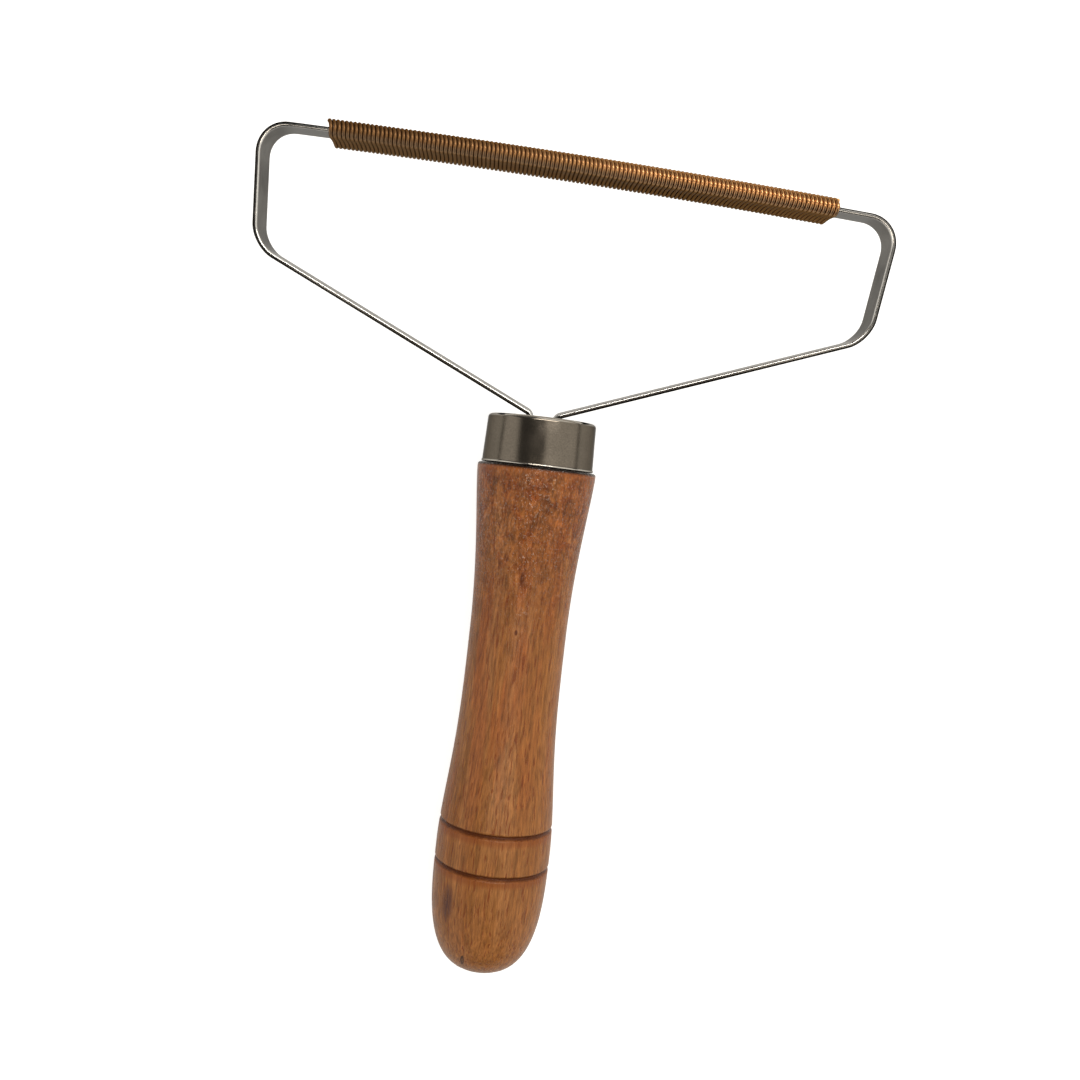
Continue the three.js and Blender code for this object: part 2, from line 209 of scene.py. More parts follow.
# Stretches of the handle: the places where each begins and is full, and its share at both
NECK = (46, 6, 0, 1)
HEARTWOOD = (92, 45, 0.25, 1)
LIP_BURNISH = (2.0, 0.3, 0, 0.75)
axes = add(tree, "ShaderNodeSeparateXYZ", {"Vector": coordinates}).node.outputs
shoulder_y = ferrule_high.y + SHOULDER * MM
neck, heartwood, lip_share = (
    add(
        tree, "ShaderNodeMapRange",
        {
            "Value": axes["Y"],
            "From Min": shoulder_y - begins * MM,
            "From Max": shoulder_y - full * MM,
            "To Min": low,
            "To Max": high,
        },
        interpolation_type="SMOOTHSTEP",
    )
    for begins, full, low, high in (NECK, HEARTWOOD, LIP_BURNISH)
)
# The lip's top and the tenon under the ferrule's mouth are painted nearly black: painted shade in the gap.
TENON_GAP_SHADE = (0.8, 0.3)
gap_shade_share = add(
    tree, "ShaderNodeMapRange",
    {
        "Value": axes["Y"],
        "From Min": shoulder_y - TENON_GAP_SHADE[0] * MM,
        "From Max": shoulder_y - TENON_GAP_SHADE[1] * MM,
    },
)
# The handle's right side is painted lighter: a painted sheen of the pale wall on its right.
RIGHT_SHEEN_REACH = (-2, 11)
right_sheen_share = add(
    tree, "ShaderNodeMapRange",
    {
        "Value": axes["X"],
        "From Min": axis_x + RIGHT_SHEEN_REACH[0] * MM,
        "From Max": axis_x + RIGHT_SHEEN_REACH[1] * MM,
        "To Max": 0.3,
    },
    interpolation_type="SMOOTHSTEP",
)

# Share of each pattern's own colour, some of it only on a stretch of the handle
layer_share, pore_share, figure_share, neck_figure, neck_stains, beads = (
    add(
        tree, "ShaderNodeMapRange",
        {"Value": pattern, "From Min": begins, "From Max": full, "To Max": strength},
        interpolation_type="SMOOTHSTEP",
    )
    for pattern, begins, full, strength in (
        (layers, 0.36, 0.66, 1),
        (pores, 0.58, 0.7, 0.75),
        (figure, 0.46, 0.64, 0.55),
        (figure, 0.2, 0.5, 0.5),
        (stains, 0.5, 0.62, 0.65),
        (sparks, 0.58, 0.68, 0.7),
    )
)
figure_share, neck_figure, neck_stains, beads = (
    add(tree, "ShaderNodeMath", {0: share, 1: stretch}, operation="MULTIPLY")
    for share, stretch in ((figure_share, heartwood), (neck_figure, neck), (neck_stains, neck), (beads, neck))
)
streak_tone, fibre_tone, blotch_tone, speck_tone = (
    add(
        tree, "ShaderNodeMapRange",
        {"Value": pattern, "From Min": low, "From Max": high, "To Min": low_tone, "To Max": high_tone},
    )
    for pattern, low, high, low_tone, high_tone in (
        (streaks, 0.3, 0.7, 0.84, 1.15),
        (fibres, 0.3, 0.7, 0.6, 1.38),
        (blotches, 0.36, 0.64, 1.34, 0.6),
        (specks, 0.36, 0.64, 1.2, 0.76),
    )
)
colour = linear("#8f5a2b")
for share, over, blend in (
    (layer_share, linear("#9a673b"), "MIX"),
    (figure_share, linear("#914a20"), "MIX"),
    # painted sheen on the right side
    (right_sheen_share, linear("#a8713f"), "MIX"),
    (1.0, streak_tone, "MULTIPLY"),
    (1.0, fibre_tone, "MULTIPLY"),
    (pore_share, linear("#723616"), "MIX"),
    (neck_figure, linear("#854519"), "MIX"),
    (neck_stains, linear("#6f310c"), "MIX"),
    (neck, blotch_tone, "MULTIPLY"),
    (neck, speck_tone, "MULTIPLY"),
    (lip_share, linear("#93501f"), "MIX"),
    # painted shade in the gap under the ferrule
    (gap_shade_share, linear("#1a0d06"), "MIX"),
):
    colour = add(
        tree, "ShaderNodeMix", {SHARE: share, UNDER: colour, OVER: over}, data_type="RGBA", blend_type=blend,
    ).node.outputs[MIXED]

# Each groove is charred and a reddish scorch runs down unevenly from it. Its upper side is painted darker
# still: painted shade of the groove's upper wall.
SCORCH_WANDER = 0.8
for groove in GROOVE_PLACES:
    below = add(tree, "ShaderNodeMath", {0: shoulder_y - groove * MM, 1: axes["Y"]}, operation="SUBTRACT")
    below = add(
        tree, "ShaderNodeMath", {0: stains, 1: -SCORCH_WANDER * MM, 2: below}, operation="MULTIPLY_ADD",
    )
    for middle, reach, inner, tone, strength in (
        (0.5, 1.6, 0.2, "#844319", 0.6),
        (-0.45, 0.7, 0.15, "#4d2410", 0.9),
    ):
        distance = add(tree, "ShaderNodeMath", {0: below, 1: middle * MM}, operation="SUBTRACT")
        distance = add(tree, "ShaderNodeMath", {0: distance}, operation="ABSOLUTE")
        scorch_and_shade_share = add(
            tree, "ShaderNodeMapRange",
            {"Value": distance, "From Min": reach * MM, "From Max": inner * MM, "To Max": strength},
            interpolation_type="SMOOTHSTEP",
        )
        colour = add(
            tree, "ShaderNodeMix", {SHARE: scorch_and_shade_share, UNDER: colour, OVER: linear(tone)}, data_type="RGBA",
        ).node.outputs[MIXED]

# A dark streak and a short crack in the butt and three small knots in the neck, each with its middle and half
# sizes from the ferrule's top.
broken = add(
    tree, "ShaderNodeMapRange", {"Value": fibres, "From Min": 0.35, "From Max": 0.6, "To Min": 0.25},
)
for middle, halves, tone, strength in (
    ((-8.0, -101.2, 8.8), (1.6, 4.8, 4), "#4a2a28", 1.8),
    ((-3.6, -112.9, 8.4), (0.45, 1.5, 3), "#1e0c06", 6.0),
    ((-4.0, -28.9, 10.1), (0.7, 1.2, 2), "#58290f", 2.0),
    ((-0.3, -32.9, 10.6), (0.6, 2.0, 2), "#58290f", 2.0),
    ((-0.3, -43.8, 10.2), (0.4, 0.7, 2), "#58290f", 2.5),
):
    inside = add(
        tree, "ShaderNodeMapping",
        {
            "Vector": coordinates,
            "Location": brush_place @ Vector(middle),
            "Scale": [half * MM for half in halves],
        },
        vector_type="TEXTURE",
    )
    mark = add(tree, "ShaderNodeTexGradient", {"Vector": inside}, gradient_type="SPHERICAL")
    share = add(tree, "ShaderNodeMath", {0: mark, 1: strength}, operation="MULTIPLY", use_clamp=True)
    share = add(tree, "ShaderNodeMath", {0: share, 1: broken}, operation="MULTIPLY")
    colour = add(
        tree, "ShaderNodeMix", {SHARE: share, UNDER: colour, OVER: linear(tone)}, data_type="RGBA",
    ).node.outputs[MIXED]
tree.links.new(colour, shader.inputs["Base Color"])

# The varnish is polished at the lip and on the neck, where it also stands in glossy beads on the torn fibres.
VARNISH_SHINE = 0.22
BEAD_SHINE = 1.6
PORE_DEPTH = 1.0
LUMP_HEIGHT = 2.5
RELIEF_DEPTH = 0.1
gloss = add(
    tree, "ShaderNodeMapRange",
    {"Value": blotches, "From Min": 0.3, "From Max": 0.7, "To Min": 0.25, "To Max": 0.36},
)
for share, polish in ((lip_share, -0.1), (neck, -0.06), (beads, -0.2)):
    gloss = add(tree, "ShaderNodeMath", {0: share, 1: polish, 2: gloss}, operation="MULTIPLY_ADD")
tree.links.new(gloss, shader.inputs["Roughness"])
relief = add(tree, "ShaderNodeMath", {0: pore_share, 1: -PORE_DEPTH, 2: fibres}, operation="MULTIPLY_ADD")
lumps = add(tree, "ShaderNodeMath", {0: blotches, 1: specks}, operation="ADD")
lumps = add(tree, "ShaderNodeMath", {0: lumps, 1: LUMP_HEIGHT}, operation="MULTIPLY")
relief = add(tree, "ShaderNodeMath", {0: lumps, 1: neck, 2: relief}, operation="MULTIPLY_ADD")
bump = add(tree, "ShaderNodeBump", {"Height": relief, "Strength": 0.6, "Distance": RELIEF_DEPTH * MM})
tree.links.new(bump, shader.inputs["Normal"])
shader.inputs["IOR"].default_value = 1.5
shine = add(tree, "ShaderNodeMath", {0: beads, 1: BEAD_SHINE, 2: VARNISH_SHINE}, operation="MULTIPLY_ADD")
tree.links.new(shine, shader.inputs["Specular IOR Level"])

outline = [
    (0, SOCKET_FLOOR),
    (SOCKET_RADIUS, SOCKET_FLOOR),
    (SOCKET_RADIUS, TENON_TOP),
    (TENON_RADIUS, TENON_TOP),
    (TENON_RADIUS, SHOULDER),
]
for step in range(SHOULDER_STEPS + 1):
    angle = step / SHOULDER_STEPS * math.pi / 2
    outline.append(
        (
            SHOULDER_RADIUS - SHOULDER_ROUND * (1 - math.sin(angle)),
            SHOULDER - SHOULDER_ROUND * (1 - math.cos(angle)),
        )
    )
place = SHOULDER_ROUND + OUTLINE_STEP
while place < HANDLE_LENGTH - OUTLINE_STEP:
    outline.append((handle_radius(place), SHOULDER - place))
    near_groove = any(abs(place - groove) < 2 * GROOVE_HALF for groove in GROOVE_PLACES)
    place += GROOVE_STEP if near_groove else OUTLINE_STEP
for share in LAST_STEPS:
    place = HANDLE_LENGTH - OUTLINE_STEP * share
    outline.append((handle_radius(place), SHOULDER - place))
outline.append((0, SHOULDER - HANDLE_LENGTH))
piece("turned_handle", turned(outline, TURNED_SEGMENTS), brush_place, wood, "brush", "handle")


# Ferrule: a cap drawn from thin steel sheet and plated with nickel. It is pressed over the tenon, its mouth
# is rolled into a bead, and a slot is punched in its top for the two tangs. Both edges carry a painted
# highlight.
FERRULE_TOP_RADIUS = 11.3
FERRULE_MOUTH_RADIUS = 11.6
FERRULE_HEIGHT = 10.05
FERRULE_CORNER = 0.8
FERRULE_CORNER_STEPS = 8
FERRULE_WALL = 0.5
RIM_BEAD = 0.3
RIM_PROUD = 0.14
RIM_ANGLES = range(60, -91, -15)
SLOT_HALF_LENGTH = 3.9
SLOT_HALF_WIDTH = 4.3

# Nickel plate: a soft grey mirror, finely grained and smeared by fingers, with a painted highlight at each
# edge.
nickel, tree, shader, coordinates = new_material("nickel_plated_steel")
shader.inputs["Metallic"].default_value = 1
shader.inputs["Specular Tint"].default_value = linear("#b4b4b4")
GRAIN_SIZE = 0.25
GRAIN_DEPTH = 0.02
SMEAR_SIZE = 3.5
fine = add(tree, "ShaderNodeTexNoise", {"Vector": coordinates, "Scale": 1 / (GRAIN_SIZE * MM), "Detail": 2})
smears = add(tree, "ShaderNodeTexNoise", {"Vector": coordinates, "Scale": 1 / (SMEAR_SIZE * MM), "Detail": 3})
pits, gloss = (
    add(
        tree, "ShaderNodeMapRange",
        {"Value": pattern, "From Min": 0.3, "From Max": 0.7, "To Min": low, "To Max": high},
    )
    for pattern, low, high in ((fine, 0.82, 1.18), (smears, 0.13, 0.19))
)
plate_colour = linear("#6d665c")
for share, over, blend in ((smears, linear("#7a7267"), "MIX"), (1.0, pits, "MULTIPLY")):
    plate_colour = add(
        tree, "ShaderNodeMix", {SHARE: share, UNDER: plate_colour, OVER: over}, data_type="RGBA", blend_type=blend,
    ).node.outputs[MIXED]
height = add(tree, "ShaderNodeSeparateXYZ", {"Vector": coordinates}).node.outputs["Y"]
# The top corner and the rolled mouth are painted lighter: painted highlights where the edges catch the light.
for edge, inner, tone in ((0, -0.7, "#c4bfb6"), (-FERRULE_HEIGHT, 0.6, "#c9c4bb")):
    edge_highlight = add(
        tree, "ShaderNodeMapRange",
        {
            "Value": height,
            "From Min": ferrule_high.y + (edge + inner) * MM,
            "From Max": ferrule_high.y + (edge + inner / 2) * MM,
        },
        interpolation_type="SMOOTHSTEP",
    )
    plate_colour = add(
        tree, "ShaderNodeMix", {SHARE: edge_highlight, UNDER: plate_colour, OVER: linear(tone)}, data_type="RGBA",
    ).node.outputs[MIXED]
tree.links.new(plate_colour, shader.inputs["Base Color"])
tree.links.new(gloss, shader.inputs["Roughness"])
bump = add(tree, "ShaderNodeBump", {"Height": fine, "Strength": 0.3, "Distance": GRAIN_DEPTH * MM})
tree.links.new(bump, shader.inputs["Normal"])

corner = [
    (
        FERRULE_TOP_RADIUS - FERRULE_CORNER * (1 - math.sin(step / FERRULE_CORNER_STEPS * math.pi / 2)),
        -FERRULE_CORNER * (1 - math.cos(step / FERRULE_CORNER_STEPS * math.pi / 2)),
    )
    for step in range(FERRULE_CORNER_STEPS + 1)
]
bead = [
    (
        FERRULE_MOUTH_RADIUS + RIM_PROUD - RIM_BEAD * (1 - math.cos(math.radians(angle))),
        -FERRULE_HEIGHT + RIM_BEAD * (1 + math.sin(math.radians(angle))),
    )
    for angle in RIM_ANGLES
]
bm = turned(corner + bead, TURNED_SEGMENTS)
rim = [edge for edge in bm.edges if all(abs(vert.co.y) < SAME_PLACE for vert in edge.verts)]
slot_corners = [
    bm.verts.new((x * SLOT_HALF_LENGTH, 0, z * SLOT_HALF_WIDTH))
    for x, z in ((1, 1), (-1, 1), (-1, -1), (1, -1))
]
slot_edges = [bm.edges.new((slot_corners[i - 1], slot_corners[i])) for i in range(4)]
bmesh.ops.triangle_fill(bm, use_beauty=True, edges=rim + slot_edges)
bmesh.ops.recalc_face_normals(bm, faces=bm.faces[:])
bmesh.ops.solidify(bm, geom=bm.faces[:], thickness=FERRULE_WALL)
piece("drawn_ferrule", bm, brush_place, nickel, "brush", "ferrule")


# Glue: the resin that was poured into the socket round the tangs. It stays as the frame gives it, inside
# the handle, and shows only through the ferrule's slot, as a dull amber cloud.
resin, tree, shader, coordinates = new_material("clouded_resin_glue")
shader.inputs["Roughness"].default_value = 0.35
CLOUD_SIZE = 2.0
clouds = add(tree, "ShaderNodeTexNoise", {"Vector": coordinates, "Scale": 1 / (CLOUD_SIZE * MM), "Detail": 3})
amber = add(
    tree, "ShaderNodeMix", {SHARE: clouds, UNDER: linear("#b39a68"), OVER: linear("#d8c8a0")}, data_type="RGBA",
).node.outputs[MIXED]
tree.links.new(amber, shader.inputs["Base Color"])
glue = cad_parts["glue_plug"]
glue.data.materials.clear()
glue.data.materials.append(resin)


# Band: one length of rolled steel strip with rounded edges, bent into a five-sided loop. Its inside is bright,
# its upward faces are painted nearly white, a painted highlight, and its outside is painted black, painted
# shade.
# The two ends kink in the ferrule's slot and stand as tangs.
STRIP_WIDTH = 8.0
STRIP_THICKNESS = 1.0
STRIP_EDGE = 0.38
EDGE_STEPS = 4
EDGE_ANGLE = math.radians(60)
HEAD_HALF = 65.0
HEAD_HEIGHT = 50.05
SIDE_FOOT = (63.3, 25.3)
TOP_CORNER_RADIUS = 6.2
LOWER_CORNER_RADIUS = 7.4
BAR_BOW = 0.75
TANG_HALF_SPREAD = 3.0
TANG_BEND_HEIGHT = 0.2
TANG_BEND_RADIUS = 1.0
TANG_KINK_OVERLAP = 0.8
TANG_LENGTH = 26.0
FIT_GAP = 0.3
HEAD_LEAN = math.radians(5.9)
HEAD_TURN = math.radians(-2.2)
TOP_STEPS = 14
LOWER_STEPS = 12
TANG_STEPS = 6
BAR_STEPS = 40

# The loop's foot is lifted until the leaning arms clear the ferrule's top beside the slot, and the top bar's
# long arc ends a little short of the corner bends.
arm_slope = (SIDE_FOOT[1] - TANG_BEND_HEIGHT) / (SIDE_FOOT[0] - TANG_HALF_SPREAD)
arm_drop = math.sin(HEAD_LEAN) * STRIP_WIDTH / 2 + abs(math.sin(HEAD_TURN)) * SLOT_HALF_LENGTH
arm_rise = arm_slope * (SLOT_HALF_LENGTH - TANG_HALF_SPREAD)
loop_foot = FIT_GAP + arm_drop - TANG_BEND_HEIGHT - arm_rise
tang_kink = -loop_foot - TANG_KINK_OVERLAP
top_bend = Vector((1, 0)).angle(Vector(SIDE_FOOT) - Vector((HEAD_HALF, HEAD_HEIGHT)))
bar_half = HEAD_HALF - (TOP_CORNER_RADIUS + BAR_BOW) * math.tan(top_bend / 2)
bar_slope = 2 * BAR_BOW / bar_half
bar_radius = bar_half / bar_slope
loop_turn = Matrix.Rotation(HEAD_TURN, 4, "Z") @ Matrix.Rotation(HEAD_LEAN, 4, "X")
loop_place = Matrix.Translation((0, loop_foot, 0)) @ loop_turn

# Rolled steel: a clear grey mirror inside, painted nearly white where it faces up (a painted highlight) and
# painted black on the outside (painted shade).
steel, tree, shader, coordinates = new_material("bright_rolled_steel")
shader.inputs["Metallic"].default_value = 1
shader.inputs["Specular Tint"].default_value = linear("#a5a5a5")
SCUFF_SIZE = 2.5
ROLLING_GRAIN = 0.3
ROLLING_DEPTH = 0.006
LOOP_MIDDLE = (0, 33, 0)
scuffs = add(tree, "ShaderNodeTexNoise", {"Vector": coordinates, "Scale": 1 / (SCUFF_SIZE * MM), "Detail": 3})
grain = add(tree, "ShaderNodeTexNoise", {"Vector": coordinates, "Scale": 1 / (ROLLING_GRAIN * MM), "Detail": 2})
normal = coordinates.node.outputs["Normal"]
upwards = add(tree, "ShaderNodeSeparateXYZ", {"Vector": normal}).node.outputs["Z"]
outwards = add(
    tree, "ShaderNodeVectorMath",
    {0: coordinates, 1: brush_place @ loop_place @ Vector(LOOP_MIDDLE)}, operation="SUBTRACT",
)
outwards = add(tree, "ShaderNodeVectorMath", {0: outwards, 1: (1, 1, 0)}, operation="MULTIPLY")
outwards = add(tree, "ShaderNodeVectorMath", {0: outwards}, operation="NORMALIZE")
facing = add(
    tree, "ShaderNodeVectorMath", {0: outwards, 1: normal}, operation="DOT_PRODUCT",
).node.outputs["Value"]
# Faces that point up are painted nearly white, a painted highlight; faces that point out of the loop are
# painted black, painted shade.
upward_highlight_share, outside_shade_share = (
    add(
        tree, "ShaderNodeMapRange",
        {"Value": direction, "From Min": begins, "From Max": full}, interpolation_type="SMOOTHSTEP",
    )
    for direction, begins, full in ((upwards, 0.2, 0.5), (facing, -0.12, 0.06))
)
greys = linear("#8f8d8a")
for share, tone in ((scuffs, "#b0afac"), (upward_highlight_share, "#dcdbd7"), (outside_shade_share, "#22211f")):
    greys = add(
        tree, "ShaderNodeMix", {SHARE: share, UNDER: greys, OVER: linear(tone)}, data_type="RGBA",
    ).node.outputs[MIXED]
tree.links.new(greys, shader.inputs["Base Color"])
gloss = add(
    tree, "ShaderNodeMapRange",
    {"Value": scuffs, "From Min": 0.3, "From Max": 0.7, "To Min": 0.1, "To Max": 0.18},
)
tree.links.new(gloss, shader.inputs["Roughness"])
bump = add(tree, "ShaderNodeBump", {"Height": grain, "Strength": 0.1, "Distance": ROLLING_DEPTH * MM})
tree.links.new(bump, shader.inputs["Normal"])

right_corners = [
    ((HEAD_HALF, HEAD_HEIGHT), TOP_CORNER_RADIUS, TOP_STEPS),
    (SIDE_FOOT, LOWER_CORNER_RADIUS, LOWER_STEPS),
    ((TANG_HALF_SPREAD, TANG_BEND_HEIGHT), TANG_BEND_RADIUS, TANG_STEPS),
    ((TANG_HALF_SPREAD, tang_kink), 0, 0),
]
apex = ((0, HEAD_HEIGHT + HEAD_HALF * bar_slope), bar_radius, BAR_STEPS)
left_corners = [((-x, y), radius, steps) for (x, y), radius, steps in right_corners]
corners = left_corners[::-1] + [apex] + right_corners
bm = bmesh.new()
verts = [bm.verts.new((x, y, -STRIP_WIDTH / 2)) for (x, y), radius, steps in corners]
for pair in zip(verts, verts[1:]):
    bm.edges.new(pair)
bends = []
for before, vert, after, (_, radius, steps) in zip(verts, verts[1:], verts[2:], corners[1:]):
    bend = (vert.co - before.co).angle(after.co - vert.co)
    bends.append((vert, radius * math.tan(bend / 2), steps))
for vert, reach, steps in bends:
    bmesh.ops.bevel(
        bm, geom=[vert], offset=reach, offset_type="OFFSET", segments=steps, profile=0.5,
        affect="VERTICES", clamp_overlap=False, material=-1,
    )
extruded = bmesh.ops.extrude_edge_only(bm, edges=bm.edges[:])["geom"]
far_side = [item for item in extruded if isinstance(item, bmesh.types.BMVert)]
bmesh.ops.translate(bm, verts=far_side, vec=(0, 0, STRIP_WIDTH))
bmesh.ops.recalc_face_normals(bm, faces=bm.faces[:])
bmesh.ops.transform(bm, matrix=loop_place, verts=bm.verts[:])
ends = [
    edge for edge in bm.edges
    if edge.is_boundary and all(len(vert.link_edges) == 2 for vert in edge.verts)
]
tangs = bmesh.ops.extrude_edge_only(bm, edges=ends)["geom"]
tang_ends = [item for item in tangs if isinstance(item, bmesh.types.BMVert)]
bmesh.ops.translate(bm, verts=tang_ends, vec=(0, -TANG_LENGTH - tang_kink, 0))
band = piece("bent_band", bm, brush_place, steel, "brush", "frame_band", sharp_angle=180)
walls = band.modifiers.new("strip_thickness", "SOLIDIFY")
walls.thickness = STRIP_THICKNESS * MM
walls.offset = -1
walls.use_even_offset = True
edges = band.modifiers.new("rolled_edges", "BEVEL")
edges.width = STRIP_EDGE * MM
edges.segments = EDGE_STEPS
edges.limit_method = "ANGLE"
edges.angle_limit = EDGE_ANGLE
edges.harden_normals = True


# Coil: hard-drawn copper wire, wound closely on a flat mandrel into one long spring and threaded on the bar.
# Its turns lean, so that the near bends sit further right than the far ones, and it tips forwards in its play.
# One turn is drawn, copied into a stretch of turns, and the stretch is copied along the bar.
WIRE_RADIUS = 0.42
WIRE_SIDES = 8
STRETCH_TURNS = 8
STRETCHES = 15
COIL_LENGTH = 102.7
COIL_OFFSET = 0.1
COIL_DEPTH = 12.2
COIL_THICKNESS = 3.7
COIL_SAG = 0.1
COIL_TILT = math.radians(3.7)
CORNER_RADIUS = 1.36
CORNER_STEPS = 6
SIDE_STEPS = 6
SIDE_BOW = 0.2
LEAN_OF_TURNS = 0.06
STEP_SHARE = 0.85
UNEVENNESS = 0.02
UNEVEN_LENGTH = 3.7

# Drawn copper: browned by handling, with a few dull specks, and rougher towards the left end. Its colour is
# painted darker towards the left end and lighter towards the right, painted shade and highlight, and paler
# and greyer on its underside, a painted reflection.
copper, tree, shader, coordinates = new_material("drawn_copper_wire")
shader.inputs["Metallic"].default_value = 1
shader.inputs["Specular Tint"].default_value = linear("#8c8884")
TONE_SIZE = 6.0
DULL_SPECK_SIZE = 0.5
ALONG_COIL_REACH = (-40, 25)
tones = add(tree, "ShaderNodeTexNoise", {"Vector": coordinates, "Scale": 1 / (TONE_SIZE * MM), "Detail": 3})
specks = add(
    tree, "ShaderNodeTexNoise", {"Vector": coordinates, "Scale": 1 / (DULL_SPECK_SIZE * MM), "Detail": 2},
)
along = add(tree, "ShaderNodeSeparateXYZ", {"Vector": coordinates}).node.outputs["X"]
# The colour is painted darker towards the left end and lighter towards the right: painted shade and highlight.
# The roughness rises towards the left.
painted_light_along, gloss = (
    add(
        tree, "ShaderNodeMapRange",
        {
            "Value": along,
            "From Min": ALONG_COIL_REACH[0] * MM,
            "From Max": ALONG_COIL_REACH[1] * MM,
            "To Min": dull,
            "To Max": bright,
        },
        interpolation_type="SMOOTHSTEP",
    )
    for dull, bright in ((0.5, 1.25), (0.42, 0.26))
)
# Faces that point down are painted paler and greyer: a painted reflection of the room.
upright = add(
    tree, "ShaderNodeSeparateXYZ", {"Vector": coordinates.node.outputs["Normal"]},
).node.outputs["Y"]
speck_share, underside_light_share = (
    add(
        tree, "ShaderNodeMapRange",
        {"Value": pattern, "From Min": begins, "From Max": full, "To Max": strength},
        interpolation_type="SMOOTHSTEP",
    )
    for pattern, begins, full, strength in ((specks, 0.55, 0.75, 0.5), (upright, -0.25, -0.7, 0.85))
)
metal = linear("#a0764a")
for share, over, blend in (
    (tones, linear("#c08f62"), "MIX"),
    (1.0, painted_light_along, "MULTIPLY"),
    (speck_share, linear("#5f4024"), "MIX"),
    (underside_light_share, linear("#9c8064"), "MIX"),
):
    metal = add(
        tree, "ShaderNodeMix", {SHARE: share, UNDER: metal, OVER: over}, data_type="RGBA", blend_type=blend,
    ).node.outputs[MIXED]
tree.links.new(metal, shader.inputs["Base Color"])
tree.links.new(gloss, shader.inputs["Roughness"])

flat_half = COIL_THICKNESS / 2 - WIRE_RADIUS - CORNER_RADIUS
straight_half = COIL_DEPTH / 2 - WIRE_RADIUS - CORNER_RADIUS
pitch = (COIL_LENGTH - 2 * WIRE_RADIUS) / (STRETCH_TURNS * STRETCHES)
bm = bmesh.new()
ring = bmesh.ops.create_circle(bm, segments=WIRE_SIDES, radius=WIRE_RADIUS)["verts"]
bmesh.ops.translate(bm, verts=ring, vec=(0, flat_half + CORNER_RADIUS, straight_half))


def draw_straight(wire_end, up, forwards, steps):
    """Draws the wire on along a straight side and returns its new end."""
    for _ in range(steps):
        edges = [item for item in wire_end if isinstance(item, bmesh.types.BMEdge)]
        wire_end = bmesh.ops.extrude_edge_only(bm, edges=edges)["geom"]
        verts = [item for item in wire_end if isinstance(item, bmesh.types.BMVert)]
        bmesh.ops.translate(bm, verts=verts, vec=(0, up / steps, forwards / steps))
    return [item for item in wire_end if not isinstance(item, bmesh.types.BMFace)]


def draw_corner(wire_end, up, forwards, advance):
    """Draws the wire on round one of the four corners and returns its new end."""
    return bmesh.ops.spin(
        bm, geom=wire_end, cent=(0, up * flat_half, forwards * straight_half), axis=(1, 0, 0),
        dvec=(advance / CORNER_STEPS, 0, 0), angle=math.pi / 2, steps=CORNER_STEPS,
    )["geom_last"]


wire_end = draw_corner(ring + bm.edges[:], 1, 1, pitch * STEP_SHARE)
wire_end = draw_straight(wire_end, -2 * flat_half, 0, 1)
wire_end = draw_corner(wire_end, -1, 1, 0)
wire_end = draw_straight(wire_end, 0, -2 * straight_half, SIDE_STEPS)
wire_end = draw_corner(wire_end, -1, -1, 0)
wire_end = draw_straight(wire_end, 2 * flat_half, 0, 1)
wire_end = draw_corner(wire_end, 1, -1, pitch * (1 - STEP_SHARE))
draw_straight(wire_end, 0, 2 * straight_half, SIDE_STEPS)
for count, length in ((STRETCH_TURNS, pitch), (STRETCHES, STRETCH_TURNS * pitch)):
    drawn = bm.verts[:] + bm.edges[:] + bm.faces[:]
    for copy in range(1, count):
        grown = bmesh.ops.duplicate(bm, geom=drawn)["geom"]
        verts = [item for item in grown if isinstance(item, bmesh.types.BMVert)]
        bmesh.ops.translate(bm, verts=verts, vec=(copy * length, 0, 0))
bmesh.ops.remove_doubles(bm, verts=bm.verts[:], dist=SAME_PLACE)
bmesh.ops.holes_fill(bm, edges=[edge for edge in bm.edges if edge.is_boundary], sides=WIRE_SIDES)
bmesh.ops.recalc_face_normals(bm, faces=bm.faces[:])
coil_start = COIL_OFFSET - COIL_LENGTH / 2 + WIRE_RADIUS
for vert in bm.verts:
    inwards = max(0, 1 - (vert.co.z / straight_half) ** 2) ** 2
    vert.co.y -= math.copysign(SIDE_BOW * inwards, vert.co.y)
    vert.co.x += coil_start + LEAN_OF_TURNS * vert.co.z
    vert.co.x += UNEVENNESS * math.sin(2 * math.pi * vert.co.x / UNEVEN_LENGTH)
bmesh.ops.rotate(bm, cent=(0, 0, 0), matrix=Matrix.Rotation(-COIL_TILT, 3, "X"), verts=bm.verts[:])
bar_top = HEAD_HEIGHT + HEAD_HALF * bar_slope - BAR_BOW
coil_height = bar_top - STRIP_THICKNESS / 2 - COIL_SAG
for vert in bm.verts:
    vert.co.y += coil_height - vert.co.x**2 / (2 * bar_radius)
bmesh.ops.transform(bm, matrix=loop_place, verts=bm.verts[:])
piece("wound_coil", bm, brush_place, copper, "coil", "copper_coil", sharp_angle=60)


# Floor: a plain white board under the brush. Whatever looks at it sees white, less what the brush shades.
FLOOR_HALF = 3.0
FLOOR_GLOW = 0.75
MIRRORED_GLOW = 0.2
bm = bmesh.new()
bmesh.ops.create_grid(bm, x_segments=1, y_segments=1, size=FLOOR_HALF)
mesh = bpy.data.meshes.new("white_board")
bm.to_mesh(mesh)
bm.free()
board, tree, shader, coordinates = new_material("white_board")
shader.inputs["Base Color"].default_value = linear("#cfcfcd")
shader.inputs["Roughness"].default_value = 0.9
shader.inputs["Emission Color"].default_value = linear("#ffffff")
rays = tree.nodes.new("ShaderNodeLightPath").outputs
mirrored = add(
    tree, "ShaderNodeMath", {0: rays["Is Glossy Ray"], 1: rays["Is Transmission Ray"]}, operation="MAXIMUM",
)
mirrored = add(tree, "ShaderNodeMath", {0: mirrored, 1: MIRRORED_GLOW}, operation="MULTIPLY")
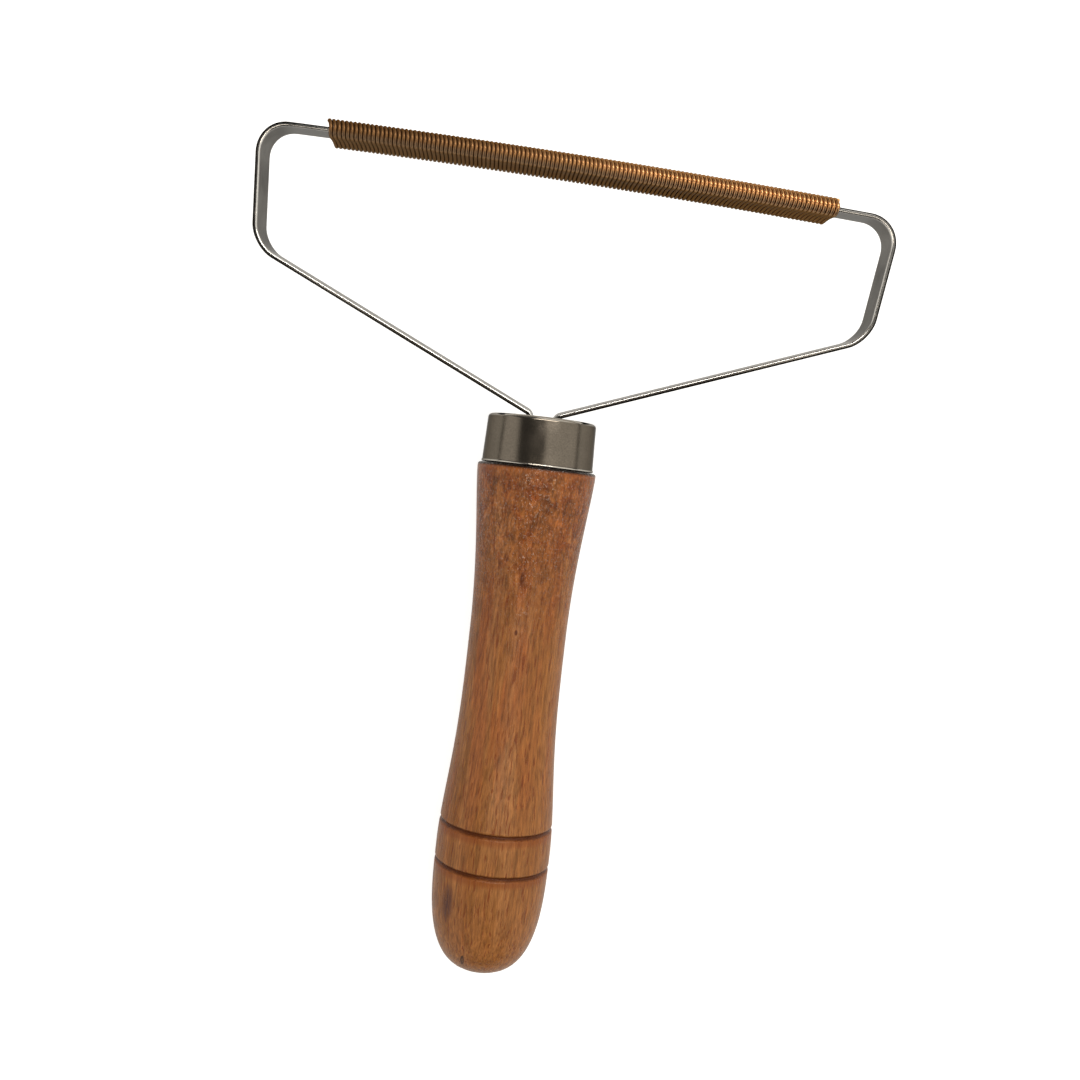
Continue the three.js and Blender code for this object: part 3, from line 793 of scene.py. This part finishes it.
glow = add(
    tree, "ShaderNodeMath", {0: rays["Is Camera Ray"], 1: FLOOR_GLOW, 2: mirrored}, operation="MULTIPLY_ADD",
)
tree.links.new(glow, shader.inputs["Emission Strength"])
mesh.materials.append(board)
floor = bpy.data.objects.new("white_board", mesh)
bpy.context.collection.objects.link(floor)


# Light: a room with pale walls to the left and right. A dark band runs askew over it from front to back, where
# the photographer and the ceiling are. A wide window light is beyond the head, a warm lamp above the handle.
NEAR_SIDE = "#3b3a3a"
FAR_SIDE = "#64625f"
SKIRTING = "#a8a49e"
LEFT_WALL = "#fbf6ef"
RIGHT_WALL = "#fffaf2"
BAND_MIDDLE = -0.2
BAND_SKEW = 0.4
BAND_HALF = (0.36, 0.56)
world = bpy.data.worlds.new("pale_room")
bpy.context.scene.world = world
world.use_nodes = True
tree = world.node_tree
towards = tree.nodes.new("ShaderNodeTexCoord").outputs["Generated"]
across, ahead, above = add(tree, "ShaderNodeSeparateXYZ", {"Vector": towards}).node.outputs
right_share = add(tree, "ShaderNodeMapRange", {"Value": across, "From Min": -0.5, "From Max": 0.5})
skewed = add(tree, "ShaderNodeMath", {0: ahead, 1: BAND_SKEW, 2: across}, operation="MULTIPLY_ADD")
off_middle = add(tree, "ShaderNodeMath", {0: skewed, 1: BAND_MIDDLE}, operation="SUBTRACT")
off_middle = add(tree, "ShaderNodeMath", {0: off_middle}, operation="ABSOLUTE")
wall_share, far_share, low_share = (
    add(
        tree, "ShaderNodeMapRange",
        {"Value": direction, "From Min": begins, "From Max": full}, interpolation_type="SMOOTHSTEP",
    )
    for direction, begins, full in ((off_middle, *BAND_HALF), (ahead, -0.5, -0.1), (above, 0.2, 0.06))
)
skirting_share = add(tree, "ShaderNodeMath", {0: low_share, 1: far_share}, operation="MULTIPLY")
walls, dark = (
    add(
        tree, "ShaderNodeMix", {SHARE: share, UNDER: linear(under), OVER: linear(over)}, data_type="RGBA",
    ).node.outputs[MIXED]
    for share, under, over in ((right_share, LEFT_WALL, RIGHT_WALL), (far_share, NEAR_SIDE, FAR_SIDE))
)
room = dark
for share, over in ((wall_share, walls), (skirting_share, linear(SKIRTING))):
    room = add(
        tree, "ShaderNodeMix", {SHARE: share, UNDER: room, OVER: over}, data_type="RGBA",
    ).node.outputs[MIXED]
tree.links.new(room, tree.nodes["Background"].inputs["Color"])


def soft_light(name, place, width, height, power, tint):
    """A rectangular soft light that shines straight down from a place in metres in the frame."""
    lamp = bpy.data.lights.new(name, "AREA")
    lamp.shape = "RECTANGLE"
    lamp.size = width
    lamp.size_y = height
    lamp.energy = power
    lamp.color = linear(tint)[:3]
    made = bpy.data.objects.new(name, lamp)
    made.location = place
    made.rotation_euler = Vector((0, 0, -1)).to_track_quat("-Z", "Y").to_euler()
    bpy.context.collection.objects.link(made)


soft_light("window", (0.2, 0.42, 1.0), width=0.95, height=0.16, power=5.0, tint="#fffaf4")
soft_light("ceiling_lamp", (0, -0.08, 1.0), width=0.6, height=0.15, power=1.5, tint="#fff2e2")


# Camera: straight above, a little below the ferrule, turned so that the handle leans as in the photograph. Its
# place is in millimetres from the ferrule's top, and its three directions are those of the picture.
EYE = (1.5, -12.419, 237.968)
RIGHT = Vector((0.99332, 0.1154, -0.00249))
DOWN = Vector((0.11536, -0.99188, 0.0535))
FORWARD = Vector((0.0037, -0.05343, -0.99856))
FOCAL_LENGTH = 37.868
SENSOR_WIDTH = 36
lens = bpy.data.cameras.new("camera")
lens.sensor_width = SENSOR_WIDTH
lens.lens = FOCAL_LENGTH
lens.clip_start = 0.01
camera = bpy.data.objects.new("camera", lens)
turn = Matrix((RIGHT, -DOWN, -FORWARD)).transposed().to_4x4()
camera.matrix_world = Matrix.Translation(brush_place @ Vector(EYE)) @ turn
bpy.context.collection.objects.link(camera)
bpy.context.scene.camera = camera
bpy.context.scene.view_settings.view_transform = "Standard"
